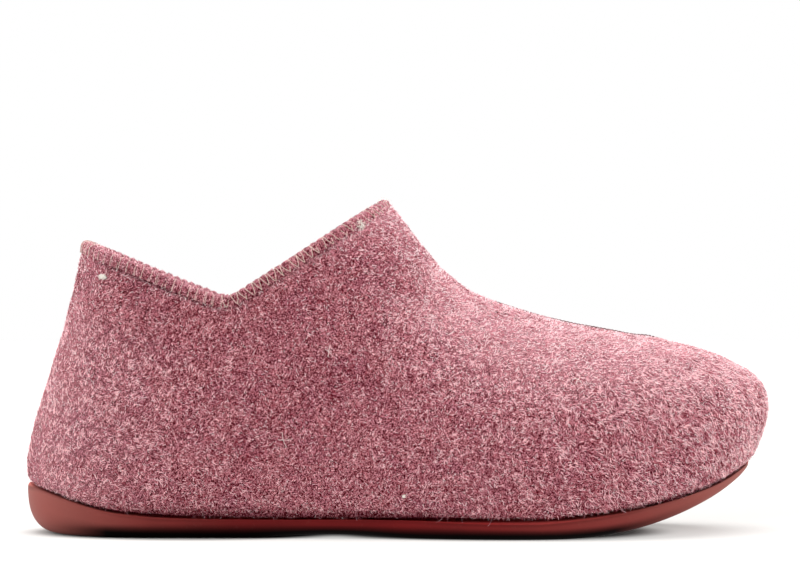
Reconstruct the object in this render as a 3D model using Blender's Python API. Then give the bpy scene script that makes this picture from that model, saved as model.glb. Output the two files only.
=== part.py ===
"""Felt slipper boot for the right foot, standing empty on its rubber sole.

The boot is modelled as it is made: a thick felt upper wrapped round a last and closed by one seam over
the instep, a rubber sole cemented under it, and a felt insole laid inside.
Its own frame is in metres: +X towards the toe, +Y towards the big-toe side, +Z up, with the origin on the
floor under the middle of the boot. The sizes below are in millimetres, measured from the heel back.
"""

import math
from collections import namedtuple

import bmesh
import bpy
import numpy as np

MM = 0.001

# Driving sizes
LENGTH = 255.0  # heel back to toe tip, over the felt
FELT = 3.0  # thickness of the upper's wall
INSOLE = 4.0  # thickness of the felt insole
GAP = 0.3  # clearance between pieces that lie against each other
SOLE_CORNER = 0.8  # rounding of the sole's upper edge
RIM_CROWN = 0.9  # how far the stitched collar edge is rounded up over the wall

# The straight spine of the last runs between these two places on the floor plan
HEEL_CENTRE = (34.0, 0.0)
TOE_CENTRE = (205.0, 6.0)
TOE_TIP_SIDE = 9.0  # the toe tip lies this far towards the big toe

# The collar, seen from the side: it falls from the heel to a dip under the ankle and climbs to the instep
COLLAR_HEEL = (20.0, 98.9)  # place and height of the heel's top corner
COLLAR_FALL = 0.41  # mm down for each mm forward, behind the dip
COLLAR_DIP = (68.5, 77.6)  # where the two slopes would cross
COLLAR_CLIMB = 0.665  # mm up for each mm forward, ahead of the dip
COLLAR_DIP_ROUND = 1.8  # how far the rounding lifts the bottom of the dip
DIP_REACH = 7.0  # half the length over which the dip is rounded
PINCH_HEIGHT = 75.0  # height above the fullest line where the ankle is drawn in by its full share

# The collar's stitched edge, pressed in along its needle line.
# below: distance under the edge; out: how far the felt stands out there
EdgeStep = namedtuple("EdgeStep", "below out")
COLLAR_EDGE = (
    EdgeStep(0, -0.1),
    EdgeStep(1.4, 0.05),
    EdgeStep(2.6, -0.05),
    EdgeStep(3.6, -0.6),
    EdgeStep(5.0, 0.0),
)

# The sole's underside: flat under heel and forefoot, a slight arch between, and a sprung toe
HEEL_FLAT_END, BALL_FLAT_START = 72.0, 138.0
ARCH_RISE = 1.2
SPRING_START, SPRING_END = 178.0, 249.5
SPRING_RISE, SPRING_POWER = 21.8, 2.0
SOLE_ROUND = 2.6  # power of the curve by which the sole's side rounds in: 2 would be an ellipse, more is fuller

# Sections of the last from heel back to toe tip.
# outer, inner: how far the fullest line of the felt stands from the axis on the little-toe and big-toe side
# full: height of that line; tuck: how far the felt draws in below it; arch: power of the section's curve
# pinch: share by which the sides close in towards the ankle at the height of the collar
Section = namedtuple("Section", "along outer inner full tuck arch pinch")
LAST = (
    Section(0, 0, 0, 25, 0.6, 2.0, 0.20),
    Section(10, 24.2, 24.2, 25, 1.0, 2.0, 0.20),
    Section(34, 34.5, 34.0, 24, 2.4, 2.0, 0.19),
    Section(68, 36.0, 32.6, 23, 3.0, 2.0, 0.08),
    Section(100, 37.6, 32.4, 22, 3.2, 1.9, 0.01),
    Section(130, 41.4, 36.2, 22, 3.2, 1.8, 0.0),
    Section(160, 45.4, 43.2, 22, 3.2, 1.9, 0.0),
    Section(182, 46.5, 47.4, 23, 3.2, 2.1, 0.0),
    Section(202, 43.6, 48.6, 26, 3.4, 2.25, 0.0),
    Section(222, 35.4, 45.6, 31, 4.0, 2.35, 0.0),
    Section(239, 23.0, 37.0, 37, 4.8, 2.4, 0.0),
    Section(250, 7.5, 24.5, 42, 5.6, 2.4, 0.0),
    Section(LENGTH, -TOE_TIP_SIDE, TOE_TIP_SIDE, 44, 6.0, 2.4, 0.0),
)

# Height of the instep ridge. Behind the collar it runs on up, as the front of a leg would
Ridge = namedtuple("Ridge", "along height")
RIDGE = (
    Ridge(34, 250),
    Ridge(80, 180),
    Ridge(105, 142),
    Ridge(122, 116),
    Ridge(130, 105.3),
    Ridge(140, 92.2),
    Ridge(148, 84.8),
    Ridge(158, 79.4),
    Ridge(172, 74.6),
    Ridge(190, 70.3),
    Ridge(210, 67.0),
    Ridge(232, 64.3),
    Ridge(LENGTH, 60.8),
)

# The heel's back line: how far it leans forward at each height
HeelLine = namedtuple("HeelLine", "height lean")
HEEL_LINE = (
    HeelLine(25, 0.0),
    HeelLine(34, 1.8),
    HeelLine(50, 6.6),
    HeelLine(67, 12.0),
    HeelLine(83, 16.4),
    HeelLine(100, 19.2),
)

# The sole's edge. top: height of its upper edge; roll: how far the side rounds in under the boot
# lip: how far it stands out past the foot of the upper
SoleEdge = namedtuple("SoleEdge", "along top roll lip")
SOLE_EDGE = (
    SoleEdge(0, 17.8, 12.0, 0.6),
    SoleEdge(11, 14.6, 9.0, 0.6),
    SoleEdge(25, 10.1, 6.0, 0.6),
    SoleEdge(45, 7.4, 4.2, 0.6),
    SoleEdge(80, 6.3, 3.6, 0.6),
    SoleEdge(128, 6.4, 3.6, 0.6),
    SoleEdge(175, 7.4, 3.8, 0.6),
    SoleEdge(196, 8.8, 4.0, 0.6),
    SoleEdge(212, 11.0, 4.4, 0.6),
    SoleEdge(230, 15.8, 5.0, 0.3),
    SoleEdge(250, 25.8, 6.0, -0.9),
    SoleEdge(LENGTH, 29.0, 6.0, -1.2),
)

# How finely each stretch is divided
TOE_FAN, HEEL_FAN = 9, 16
HEEL_STATIONS, DIP_STATIONS, CLIMB_STATIONS, VAMP_STATIONS = 3, 4, 7, 12
TUCK_STEPS, ARCH_STEPS, FINE_STEPS = 4, 12, 48
ROLL_STEPS, FACE_STEPS = 6, 3

FELT_COLOUR = (0.44, 0.165, 0.200, 1.0)
INSOLE_COLOUR = (0.36, 0.130, 0.160, 1.0)
RUBBER_COLOUR = (0.165, 0.032, 0.030, 1.0)

Ray = namedtuple("Ray", "x y dx dy reach")


def curve_through(knots, values, at, closed=False):
    """Cubic curve through the values whose slope and bend both run on smoothly from knot to knot."""
    knots, values, at = (np.asarray(numbers, float) for numbers in (knots, values, at))
    step = np.diff(knots)
    slope = np.diff(values) / step
    count = len(knots)
    system, right = np.eye(count), np.zeros(count)
    for i in range(1, count - 1):
        system[i, i - 1 : i + 2] = step[i - 1], 2 * (step[i - 1] + step[i]), step[i]
        right[i] = 6 * (slope[i] - slope[i - 1])
    if closed:
        system[0, [0, 1, -2]] = 2 * (step[-1] + step[0]), step[0], step[-1]
        right[0] = 6 * (slope[0] - slope[-1])
        system[-1, 0] = -1
    bend = np.linalg.solve(system, right)
    i = np.clip(np.searchsorted(knots, at) - 1, 0, count - 2)
    ahead, past = (knots[i + 1] - at) / step[i], (at - knots[i]) / step[i]
    curved = (ahead**3 - ahead) * bend[i] + (past**3 - past) * bend[i + 1]
    return ahead * values[i] + past * values[i + 1] + curved * step[i] ** 2 / 6


def column(table, name, at):
    """One column of a table, read at a place between its rows."""
    first, last = table[0][0], table[-1][0]
    knots = [row[0] for row in table]
    return float(curve_through(knots, [getattr(row, name) for row in table], np.clip(at, first, last)))


def ridge(along):
    return column(RIDGE, "height", along)


def collar(along):
    """Height of the collar's edge: two straight slopes with a rounded dip between them."""
    fall = COLLAR_HEEL[1] - COLLAR_FALL * (along - COLLAR_HEEL[0])
    climb = COLLAR_DIP[1] + COLLAR_CLIMB * (along - COLLAR_DIP[0])
    return (fall + climb) / 2 + math.hypot((fall - climb) / 2, COLLAR_DIP_ROUND)


def collar_slope(along):
    return (collar(along + 0.1) - collar(along - 0.1)) / 0.2


def below_edge(point):
    """How far a point of the felt lies under the collar's edge, measured square to it."""
    return (collar(point[0]) - point[2]) / math.hypot(1, collar_slope(point[0]))


def sole_top(along):
    return column(SOLE_EDGE, "top", along)


def sole_bottom(along):
    """Height of the sole's underside above the floor."""
    if HEEL_FLAT_END < along < BALL_FLAT_START:
        share = (along - HEEL_FLAT_END) / (BALL_FLAT_START - HEEL_FLAT_END)
        return ARCH_RISE * math.sin(math.pi * share) ** 2
    if along > SPRING_START:
        return SPRING_RISE * ((along - SPRING_START) / (SPRING_END - SPRING_START)) ** SPRING_POWER
    return 0.0


def root_between(low, high, difference):
    """The place between low and high where a difference that is negative at low turns positive."""
    for _ in range(50):
        middle = (low + high) / 2
        low, high = (middle, high) if difference(middle) < 0 else (low, middle)
    return (low + high) / 2


PEAK = root_between(100, 140, lambda along: collar(along) - ridge(along))


def outline():
    """The fullest line of the upper seen from above, as a dense closed loop from toe tip round the heel."""
    outer = [(row.along, -row.outer) for row in reversed(LAST)]
    inner = [(row.along, row.inner) for row in LAST[1:]]
    points = np.array(outer + inner, float)
    knots = np.concatenate([[0], np.cumsum(np.hypot(*np.diff(points, axis=0).T))])
    at = np.linspace(0, knots[-1], 2000)
    return np.stack([curve_through(knots, points[:, k], at, closed=True) for k in (0, 1)], axis=1)


OUTLINE = outline()


def spine_side(along):
    """Sideways place of the spine, and so of the instep seam."""
    share = (along - HEEL_CENTRE[0]) / (TOE_CENTRE[0] - HEEL_CENTRE[0])
    return HEEL_CENTRE[1] + share * (TOE_CENTRE[1] - HEEL_CENTRE[1])


def half_width(along, side):
    """From the spine to the fullest line, on the little-toe side (-1) or the big-toe side (+1)."""
    points = OUTLINE[OUTLINE[:, 1] * side > 0]
    points = points[np.argsort(points[:, 0])]
    return side * (np.interp(along, points[:, 0], points[:, 1]) - spine_side(along))


def fan_ray(centre, angle):
    """A ray from a centre of the spine out to the fullest line; angle 0 points to the toe."""
    offset = OUTLINE - np.array(centre)
    turn = np.mod(np.arctan2(offset[:, 1], offset[:, 0]) - angle + math.pi, 2 * math.pi) - math.pi
    order = np.argsort(turn)
    reach = np.interp(0.0, turn[order], np.hypot(*offset.T)[order])
    return Ray(*centre, math.cos(angle), math.sin(angle), reach)


def side_ray(along, side):
    return Ray(along, spine_side(along), 0.0, float(side), half_width(along, side))


def all_rays():
    """Rays round the last, from the toe tip along the little-toe side to the heel and back."""
    dip = COLLAR_DIP[0] + DIP_REACH * np.linspace(-1, 1, DIP_STATIONS + 1)
    heel_side = np.linspace(HEEL_CENTRE[0], dip[0], HEEL_STATIONS + 1)
    closing_in = 1 - (1 - np.linspace(0, 1, CLIMB_STATIONS + 1)) ** 2
    climb = dip[-1] + (PEAK - dip[-1]) * closing_in
    opening_out = np.linspace(0, 1, VAMP_STATIONS + 1) ** 1.5
    vamp = PEAK + (TOE_CENTRE[0] - PEAK) * opening_out
    stations = np.concatenate([heel_side[:-1], dip[:-1], climb[:-1], vamp])
    quarter = math.pi / 2
    toe_outer = [fan_ray(TOE_CENTRE, a) for a in np.linspace(0, -quarter, TOE_FAN + 1)[:-1]]
    heel = [fan_ray(HEEL_CENTRE, a) for a in np.linspace(-quarter, -3 * quarter, HEEL_FAN + 1)[1:-1]]
    toe_inner = [fan_ray(TOE_CENTRE, a) for a in np.linspace(quarter, 0, TOE_FAN + 1)[1:-1]]
    outer = [side_ray(along, -1) for along in stations[::-1]]
    inner = [side_ray(along, 1) for along in stations]
    return toe_outer + outer + heel + inner + toe_inner


def at_reach(ray, reach, height):
    return np.array((ray.x + reach * ray.dx, ray.y + reach * ray.dy, height))


def fullest(ray):
    """Where along the boot this ray meets the fullest line."""
    return ray.x + ray.reach * ray.dx


def foot_reach(ray):
    """How far out the upper's lower edge stands on this ray."""
    return ray.reach - column(LAST, "tuck", fullest(ray))


def arch_point(ray, angle):
    """A point of the felt above the fullest line: angle 0 on that line, a right angle on the ridge."""
    full, power, pinch = (column(LAST, name, fullest(ray)) for name in ("full", "arch", "pinch"))
    up, side = math.sin(angle) ** (2 / power), math.cos(angle) ** (2 / power)
    if ray.x < PEAK:
        side *= 1 - pinch * ((ridge(ray.x) - full) * up / PINCH_HEIGHT) ** 1.5
    if ray.dx < 0:
        height = full + (ridge(ray.x) - full) * up
        back = 1 - column(HEEL_LINE, "lean", height) / HEEL_CENTRE[0]
        return at_reach(ray, ray.reach / math.hypot(ray.dx / back, ray.dy / side), height)
    reach = ray.reach * side
    return at_reach(ray, reach, full + (ridge(ray.x + reach * ray.dx) - full) * up)


def upper_rib(ray):
    """The upper's outer face on one ray, from its foot on the sole up to the collar or the ridge."""
    along, foot = fullest(ray), foot_reach(ray)
    full, tuck = column(LAST, "full", along), column(LAST, "tuck", along)
    low = sole_top(ray.x + foot * ray.dx) + GAP
    lower = [
        at_reach(ray, ray.reach - tuck * drop**2, full - (full - low) * drop)
        for drop in np.linspace(1, 0, TUCK_STEPS + 1)[:-1]
    ]
    top = math.pi / 2
    if ray.x < PEAK:
        top = root_between(0, top, lambda angle: -below_edge(arch_point(ray, angle)))
    fine = np.array([arch_point(ray, angle) for angle in np.linspace(0, top, FINE_STEPS + 1)])
    run = np.concatenate([[0], np.cumsum(np.linalg.norm(np.diff(fine, axis=0), axis=1))])
    slant = math.hypot(1, collar_slope(fine[-1][0]))
    edge = [run[-1] - row.below * slant for row in reversed(COLLAR_EDGE)]
    places = [*np.linspace(0, edge[0], ARCH_STEPS + 1)[:-1], *edge]
    return lower + [np.array([np.interp(at, run, fine[:, k]) for k in range(3)]) for at in places]


def sole_rib(ray):
    """The sole on one ray: out along its top, round its edge and back along its underside."""
    foot = foot_reach(ray)
    reach = foot + column(SOLE_EDGE, "lip", ray.x + foot * ray.dx)
    roll = column(SOLE_EDGE, "roll", ray.x + reach * ray.dx)

    def on(surface, out):
        return at_reach(ray, out, surface(ray.x + out * ray.dx))

    inside = np.linspace(0, 1, FACE_STEPS + 1)
    top = [on(sole_top, (reach - SOLE_CORNER) * share) for share in inside]
    shoulder = at_reach(ray, reach, top[-1][2] - SOLE_CORNER)
    edge = []
    for turn in np.linspace(0, math.pi / 2, ROLL_STEPS + 1):
        across, down = math.cos(turn) ** (2 / SOLE_ROUND), math.sin(turn) ** (2 / SOLE_ROUND)
        out = reach - roll * (1 - across)
        bottom = on(sole_bottom, out)[2]
        edge.append(at_reach(ray, out, shoulder[2] + (bottom - shoulder[2]) * down))
    bottom = [on(sole_bottom, (reach - roll) * share) for share in inside[-2::-1]]
    return top + edge + bottom


def insole_rib(ray):
    """The insole on one ray, lying on the sole inside the foot of the upper."""
    reach = foot_reach(ray) - FELT - GAP
    inside = np.linspace(0, 1, FACE_STEPS + 1)

    def level(lift, shares):
        return [at_reach(ray, reach * s, sole_top(ray.x + reach * s * ray.dx) + lift) for s in shares]

    return level(GAP + INSOLE, inside) + level(GAP, inside[::-1])


def bridge(mesh, first, second):
    """Faces between two rows of corners, closing to triangles where the rows share a corner."""
    for a, b, c, d in zip(first, second, second[1:], first[1:]):
        corners = list(dict.fromkeys((a, b, c, d)))
        if len(corners) > 2:
            mesh.faces.new(corners)


def weld_rows(mesh, ribs):
    """Corners for each rib, where ribs that share a place share its corner too."""
    known = {}

    def corner(point):
        key = tuple(np.round(point, 4))
        if key not in known:
            known[key] = mesh.verts.new(np.array(point) * MM)
        return known[key]

    return [[corner(point) for point in rib] for rib in ribs]


def skin(mesh, ribs):
    """One surface through a closed ring of ribs."""
    rows = weld_rows(mesh, ribs)
    for first, second in zip(rows, rows[1:] + rows[:1]):
        bridge(mesh, first, second)
    return rows


def finished(name, mesh, material, parent):
    """A mesh made into a named object whose box stands over the origin."""
    bmesh.ops.recalc_face_normals(mesh, faces=mesh.faces)
    data = bpy.data.meshes.new(name)
    mesh.to_mesh(data)
    mesh.free()
    data.shade_smooth()
    data.set_sharp_from_angle(angle=math.radians(50))
    data.materials.append(material)
    piece = bpy.data.objects.new(name, data)
    bpy.context.scene.collection.objects.link(piece)
    middle = (OUTLINE[:, 1].min() + OUTLINE[:, 1].max()) / 2
    piece.parent = parent
    piece.location = (-LENGTH / 2 * MM, -middle * MM, 0)
    return piece


def material_of(name, colour, roughness):
    material = bpy.data.materials.new(name)
    material.use_nodes = True
    shader = material.node_tree.nodes["Principled BSDF"]
    shader.inputs["Base Color"].default_value = colour
    shader.inputs["Roughness"].default_value = roughness
    shader.inputs["Metallic"].default_value = 0.0
    return material


def make_upper(rays, material, parent):
    """The felt wall: its outer face, the same face drawn in by the felt's thickness, and both edges."""
    mesh = bmesh.new()
    ribs = [upper_rib(ray) for ray in rays]
    outside = skin(mesh, ribs)
    bmesh.ops.recalc_face_normals(mesh, faces=mesh.faces)
    mesh.normal_update()
    way_out = 1 if outside[0][TUCK_STEPS].normal.x > 0 else -1
    normals = [[way_out * np.array(corner.normal) for corner in row] for row in outside]
    drawn_in = []
    for rib, row, normal_row in zip(ribs, outside, normals):
        inside = [point - FELT * normal for point, normal in zip(rib, normal_row)]
        inside[0][2] = sole_top(inside[0][0]) + GAP
        drawn_in.append(inside)
        for point, corner, normal in zip(rib, row, normal_row):
            step = np.interp(below_edge(point), *zip(*COLLAR_EDGE))
            corner.co = (point + step * normal) * MM
    inner = skin(mesh, drawn_in)
    for i in range(len(rays)):
        after = (i + 1) % len(rays)
        bridge(mesh, [outside[i][0], inner[i][0]], [outside[after][0], inner[after][0]])
    edge = [i for i, ray in enumerate(rays) if ray.x <= PEAK]
    close_collar(mesh, edge, outside, inner, normals)
    return finished("upper", mesh, material, parent)


def close_collar(mesh, edge, outside, inner, normals):
    """The crowned edge between the two faces, from the instep round the heel and back."""
    crown = {}
    for i in edge:
        middle = np.array(outside[i][-1].co + inner[i][-1].co) / 2
        square = np.array((-collar_slope(middle[0] / MM), 0.0, 1.0))
        up_the_wall = square - square.dot(normals[i][-1]) * normals[i][-1]
        crown[i] = mesh.verts.new(middle + RIM_CROWN * MM * up_the_wall / np.linalg.norm(up_the_wall))
    mesh.verts.remove(crown[edge[-1]])
    crown[edge[-1]] = crown[edge[0]]
    for i, after in zip(edge, edge[1:]):
        rows = [[outside[k][-1], crown[k], inner[k][-1]] for k in (i, after)]
        bridge(mesh, *rows)


def make_filled(name, rib, rays, material, parent):
    """A piece whose ribs all run from the spine out to its edge and back to the spine."""
    mesh = bmesh.new()
    skin(mesh, [rib(ray) for ray in rays])
    return finished(name, mesh, material, parent)


def main():
    for obj in list(bpy.data.objects):
        bpy.data.objects.remove(obj)
    boot = bpy.data.objects.new("slipper_boot", None)
    bpy.context.scene.collection.objects.link(boot)
    rays = all_rays()
    make_upper(rays, material_of("felt", FELT_COLOUR, 0.95), boot)
    make_filled("outsole", sole_rib, rays, material_of("rubber", RUBBER_COLOUR, 0.45), boot)
    make_filled("insole", insole_rib, rays, material_of("insole_felt", INSOLE_COLOUR, 0.95), boot)


main()
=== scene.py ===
"""Looks of the felt slipper boot: rubber sole, felt insole, and felt upper with its seam, collar and nap.

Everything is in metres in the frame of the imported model: +X towards the toe, -Y towards the outer side of
the foot, +Z up. The boot's own sizes are written in millimetres and turned into metres by MM.
"""

import math
from collections import namedtuple

import bmesh
import bpy
import numpy as np
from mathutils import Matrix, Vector, kdtree, noise
from mathutils.bvhtree import BVHTree


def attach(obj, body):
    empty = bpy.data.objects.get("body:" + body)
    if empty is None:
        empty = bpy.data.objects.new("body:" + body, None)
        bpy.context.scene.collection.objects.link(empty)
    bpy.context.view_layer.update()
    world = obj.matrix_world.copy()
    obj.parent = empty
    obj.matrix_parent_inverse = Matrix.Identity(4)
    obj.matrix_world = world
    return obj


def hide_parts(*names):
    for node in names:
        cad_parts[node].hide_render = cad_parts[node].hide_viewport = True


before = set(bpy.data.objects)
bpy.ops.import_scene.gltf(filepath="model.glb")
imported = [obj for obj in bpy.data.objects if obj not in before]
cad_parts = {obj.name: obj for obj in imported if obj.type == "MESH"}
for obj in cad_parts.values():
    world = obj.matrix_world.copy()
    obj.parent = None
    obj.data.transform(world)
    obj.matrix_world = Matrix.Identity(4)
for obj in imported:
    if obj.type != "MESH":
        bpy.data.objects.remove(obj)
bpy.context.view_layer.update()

# The outsole is one moulding of satin red-brown rubber, cemented under the felt.
# Its side rolls in under the boot, and the heel and toe ends climb up the felt as a low cup.
MM = 0.001  # one millimetre, in metres
HALF_LENGTH = 127.5  # heel back to the middle of the boot
SPINE = (34.0, 205.0)  # the last's straight spine runs between these places
TOP_SET_BACK, TOP_SET_DOWN = 0.35, 0.5  # how far the rubber's upper edge is set back and down
TOP_SET_DEPTH = 1.4  # over this height of its side
TOP_FROM_SPINE = 12.0  # nearer than this to the spine it is set back less
RISE_DEPTH = 4.0  # down to here the side follows the rise of its edge
RISE_TURN = 0.3  # and so does the top face, by this share
HEEL_REACH, TOE_REACH = 30.0, 70.0  # over these lengths the edge closes up to the felt at heel and toe
END_SHARE = 0.1  # and there it is set back by this share
STATIONS, STATION_HALF = 60, 4.0  # where the edge's height is read along the boot, and half the length read
# What the rubber's colour is multiplied by where its face looks down, sideways and up: painted shade below,
# painted light on top
SHADE = ((-0.55, 0.05), (-0.15, 1.0), (0.4, 1.0), (0.85, 1.6))
# Place along the boot, and how far it is shaded so
SHADED = ((6, 0), (30, 1), (198, 1), (210, 0.55), (222, 0.15), (230, 0))
SHADE_REACH = 10.0  # heights and depths are read up to here
# Height over the floor, and depth under the rubber's upper edge, with what its colour is multiplied by:
# painted shade near the floor, and painted light in the groove below the felt, which gets little light
FLOOR_SHADE = ((0, 0.12), (1.2, 0.12), (1.8, 0.20), (2.4, 0.36), (3.0, 0.56), (3.6, 0.82), (4.2, 1.0))
EDGE_SHADE = ((0, 3.2), (0.5, 1.8), (1.2, 0.75), (1.8, 0.80), (2.6, 1.0))
# How much higher the painted shade near the floor reaches at a place along: under the waist, and at the
# sprung toe
FLOOR_SHADE_RISE = (
    (0, 0.0),
    (30, 0.4),
    (85, 0.4),
    (115, 0.0),
    (180, 0.0),
    (196, 1.0),
    (203, 1.8),
    (210, 3.0),
    (216, 4.6),
    (225, 6.5),
)
# rubber, felt: how much higher or lower, in millimetres, the rubber's upper edge and the felt's foot run
# at a place along the boot
Rise = namedtuple("Rise", "along rubber felt")
EDGE_RISE = (
    Rise(0, 0.0, 0.0),
    Rise(23, 0.3, 0.6),
    Rise(43, 0.6, 1.2),
    Rise(62, 1.1, 2.2),
    Rise(82, 1.3, 2.6),
    Rise(115, 1.5, 2.5),
    Rise(134, 1.1, 1.6),
    Rise(147, 0.2, 0.4),
    Rise(160, -0.4, -0.7),
    Rise(174, -0.9, -1.5),
    Rise(187, -0.4, -0.7),
    Rise(200, 0.3, 0.3),
    Rise(213, 1.2, 1.0),
    Rise(226, 1.6, 1.4),
    Rise(245, 0.7, 0.5),
    Rise(255, 0.0, 0.0),
)
# share: how much the rubber is greyed at a place along the boot: by dust, and by painted light, which
# lightens its heel and toe ends
DustAndLight = namedtuple("DustAndLight", "along share")
DUST_AND_LIGHT = (
    DustAndLight(0, 0.60),
    DustAndLight(16, 0.52),
    DustAndLight(45, 0.20),
    DustAndLight(75, 0.07),
    DustAndLight(125, 0.05),
    DustAndLight(160, 0.10),
    DustAndLight(200, 0.26),
    DustAndLight(228, 0.50),
    DustAndLight(255, 0.75),
)
RUBBER_TONES = ((0.125, 0.003, 0.005), (0.165, 0.005, 0.007))
# the grey of dust, and of painted light at the rubber's ends; and the colour of its specks
DUST_AND_LIGHT_COLOUR, SPECK_COLOUR = (0.32, 0.125, 0.104, 1), (0.28, 0.10, 0.085, 1)


def smooth_copy(node, name, levels):
    """A finer copy of a solid of the frame, rounded between its corners."""
    solid = bmesh.new()
    solid.from_mesh(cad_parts[node].data)
    bmesh.ops.remove_doubles(solid, verts=solid.verts, dist=1e-6)
    bmesh.ops.join_triangles(
        solid,
        faces=solid.faces,
        angle_face_threshold=math.radians(60),
        angle_shape_threshold=math.radians(120),
    )
    rough = bpy.data.meshes.new(name)
    solid.to_mesh(rough)
    solid.free()
    piece = bpy.data.objects.new(name, rough)
    bpy.context.scene.collection.objects.link(piece)
    rounding = piece.modifiers.new("rounding", "SUBSURF")
    rounding.levels = levels
    rounding.render_levels = levels
    evaluated = piece.evaluated_get(bpy.context.evaluated_depsgraph_get())
    piece.data = bpy.data.meshes.new_from_object(evaluated)
    piece.modifiers.clear()
    piece.data.materials.clear()
    piece.data.shade_smooth()
    return piece


class Nodes:
    """Short ways to add nodes to a node tree."""

    def __init__(self, tree):
        self.tree = tree

    def node(self, kind, settings=None, **inputs):
        made = self.tree.nodes.new(kind)
        for key, value in (settings or {}).items():
            setattr(made, key, value)
        for socket, value in inputs.items():
            self.feed(made.inputs[socket.replace("_", " ")], value)
        return made

    def feed(self, socket, value):
        if isinstance(value, bpy.types.NodeSocket):
            self.tree.links.new(value, socket)
        else:
            socket.default_value = value

    def part(self, vector, axis):
        return self.node("ShaderNodeSeparateXYZ", Vector=vector).outputs[axis]

    def spread(self, value, low, high, most=1.0, least=0.0):
        """A factor that goes from least to most while a value goes from low to high."""
        made = self.node(
            "ShaderNodeMapRange", Value=value, From_Min=low, From_Max=high, To_Min=least, To_Max=most
        )
        return made.outputs["Result"]

    def joined(self, operation, first, second=0.0):
        """Two values taken together, as by MULTIPLY or MAXIMUM, or one changed, as by ABSOLUTE."""
        made = self.node("ShaderNodeMath", {"operation": operation})
        self.feed(made.inputs[0], first)
        self.feed(made.inputs[1], second)
        return made.outputs["Value"]


class Finish(Nodes):
    """A material with its principled shader, and short ways to colour it."""

    def __init__(self, name, colour, roughness, **constants):
        self.material = bpy.data.materials.new(name)
        self.material.use_nodes = True
        super().__init__(self.material.node_tree)
        self.shader = self.tree.nodes["Principled BSDF"]
        self.shader.inputs["Base Color"].default_value = (*colour, 1)
        self.shader.inputs["Roughness"].default_value = roughness
        for socket, value in constants.items():
            self.shader.inputs[socket.replace("_", " ")].default_value = value

    def place(self):
        """Where on the boot the shaded point lies, in metres."""
        return self.node("ShaderNodeTexCoord").outputs["Object"]

    def normal(self):
        """Which way the shaded face looks."""
        return self.node("ShaderNodeNewGeometry").outputs["Normal"]

    def measure(self, name):
        """A measure that the mesh keeps at its corners."""
        return self.node("ShaderNodeAttribute", {"attribute_name": name}).outputs["Fac"]

    def clouds(self, place, size, detail=3.0, distortion=0.0):
        """Soft noise whose blots are about as wide as size, in millimetres."""
        made = self.node(
            "ShaderNodeTexNoise", Vector=place, Scale=1 / (size * MM), Detail=detail, Distortion=distortion
        )
        return made.outputs["Fac"]

    def ramp(self, factor, *stops):
        """Colours spread over a factor; each stop is (position, colour)."""
        made = self.node("ShaderNodeValToRGB", Fac=factor)
        while len(made.color_ramp.elements) < len(stops):
            made.color_ramp.elements.new(0.5)
        for element, (position, colour) in zip(made.color_ramp.elements, stops):
            element.position = position
            element.color = (*colour, 1)
        return made.outputs["Color"]

    def mixed(self, factor, first, second, blend="MIX"):
        made = self.node("ShaderNodeMix", {"data_type": "RGBA", "blend_type": blend})
        for index, value in ((0, factor), (6, first), (7, second)):
            self.feed(made.inputs[index], value)
        return made.outputs[2]

    def bump(self, height, depth):
        """Relief of the given depth, in millimetres."""
        made = self.node("ShaderNodeBump", Height=height, Distance=depth * MM, Strength=1.0)
        self.feed(self.shader.inputs["Normal"], made.outputs["Normal"])


def read(table, name, at):
    """One column of a table with a row for each place along the boot, read at some places."""
    return np.interp(at, [row.along for row in table], [getattr(row, name) for row in table])


def along_of(points):
    """How far from the heel back each point lies, in millimetres."""
    return points[:, 0] / MM + HALF_LENGTH


def arrays_of(mesh):
    """Corner places and normals of a mesh, as arrays."""
    count = len(mesh.vertices)
    places, normals = np.empty(count * 3), np.empty(count * 3)
    mesh.vertices.foreach_get("co", places)
    mesh.vertices.foreach_get("normal", normals)
    return places.reshape(-1, 3), normals.reshape(-1, 3)


def from_spine(places):
    """The level way out from the last's spine to each place, and its length in millimetres."""
    spine = np.clip(along_of(places), *SPINE)
    out = np.stack([along_of(places) - spine, places[:, 1] / MM, np.zeros(len(places))], axis=1)
    reach = np.linalg.norm(out, axis=1, keepdims=True)
    return out / np.maximum(reach, 1e-6), reach


def hump(at, middle, half):
    """1 in the middle, falling off smoothly to either side."""
    return np.exp(-(((at - middle) / half) ** 2))


def draw_in_top(piece):
    """The rubber's upper edge set back under the felt, so that a dark line shows between them."""
    places, normals = arrays_of(piece.data)
    along, height = along_of(places), places[:, 2] / MM
    stations = np.linspace(along.min(), along.max(), STATIONS)
    top = [height[np.abs(along - at) < STATION_HALF].max() for at in stations]
    depth = np.interp(along, stations, top) - height
    out, reach = from_spine(places)
    from_ends = np.minimum(along / HEEL_REACH, (2 * HALF_LENGTH - along) / TOE_REACH)
    from_middle = np.clip(reach[:, 0] / TOP_FROM_SPINE, 0, 1)
    share = hump(depth, 0, TOP_SET_DEPTH) * from_middle * np.clip(from_ends, END_SHARE, 1)
    places -= (out * TOP_SET_BACK + np.array((0, 0, TOP_SET_DOWN))) * share[:, None] * MM
    outer = np.clip(RISE_TURN + (out * normals).sum(axis=1), 0, 1)
    places[:, 2] += read(EDGE_RISE, "rubber", along) * outer * hump(depth, 0, RISE_DEPTH) * MM
    piece.data.vertices.foreach_set("co", places.ravel())
    over_floor = height - np.interp(along, *zip(*FLOOR_SHADE_RISE))
    for name, measure in (("over_floor", over_floor), ("under_edge", depth)):
        piece.data.attributes.new(name, "FLOAT", "POINT").data.foreach_set("value", measure)
    piece.data.update()


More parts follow.
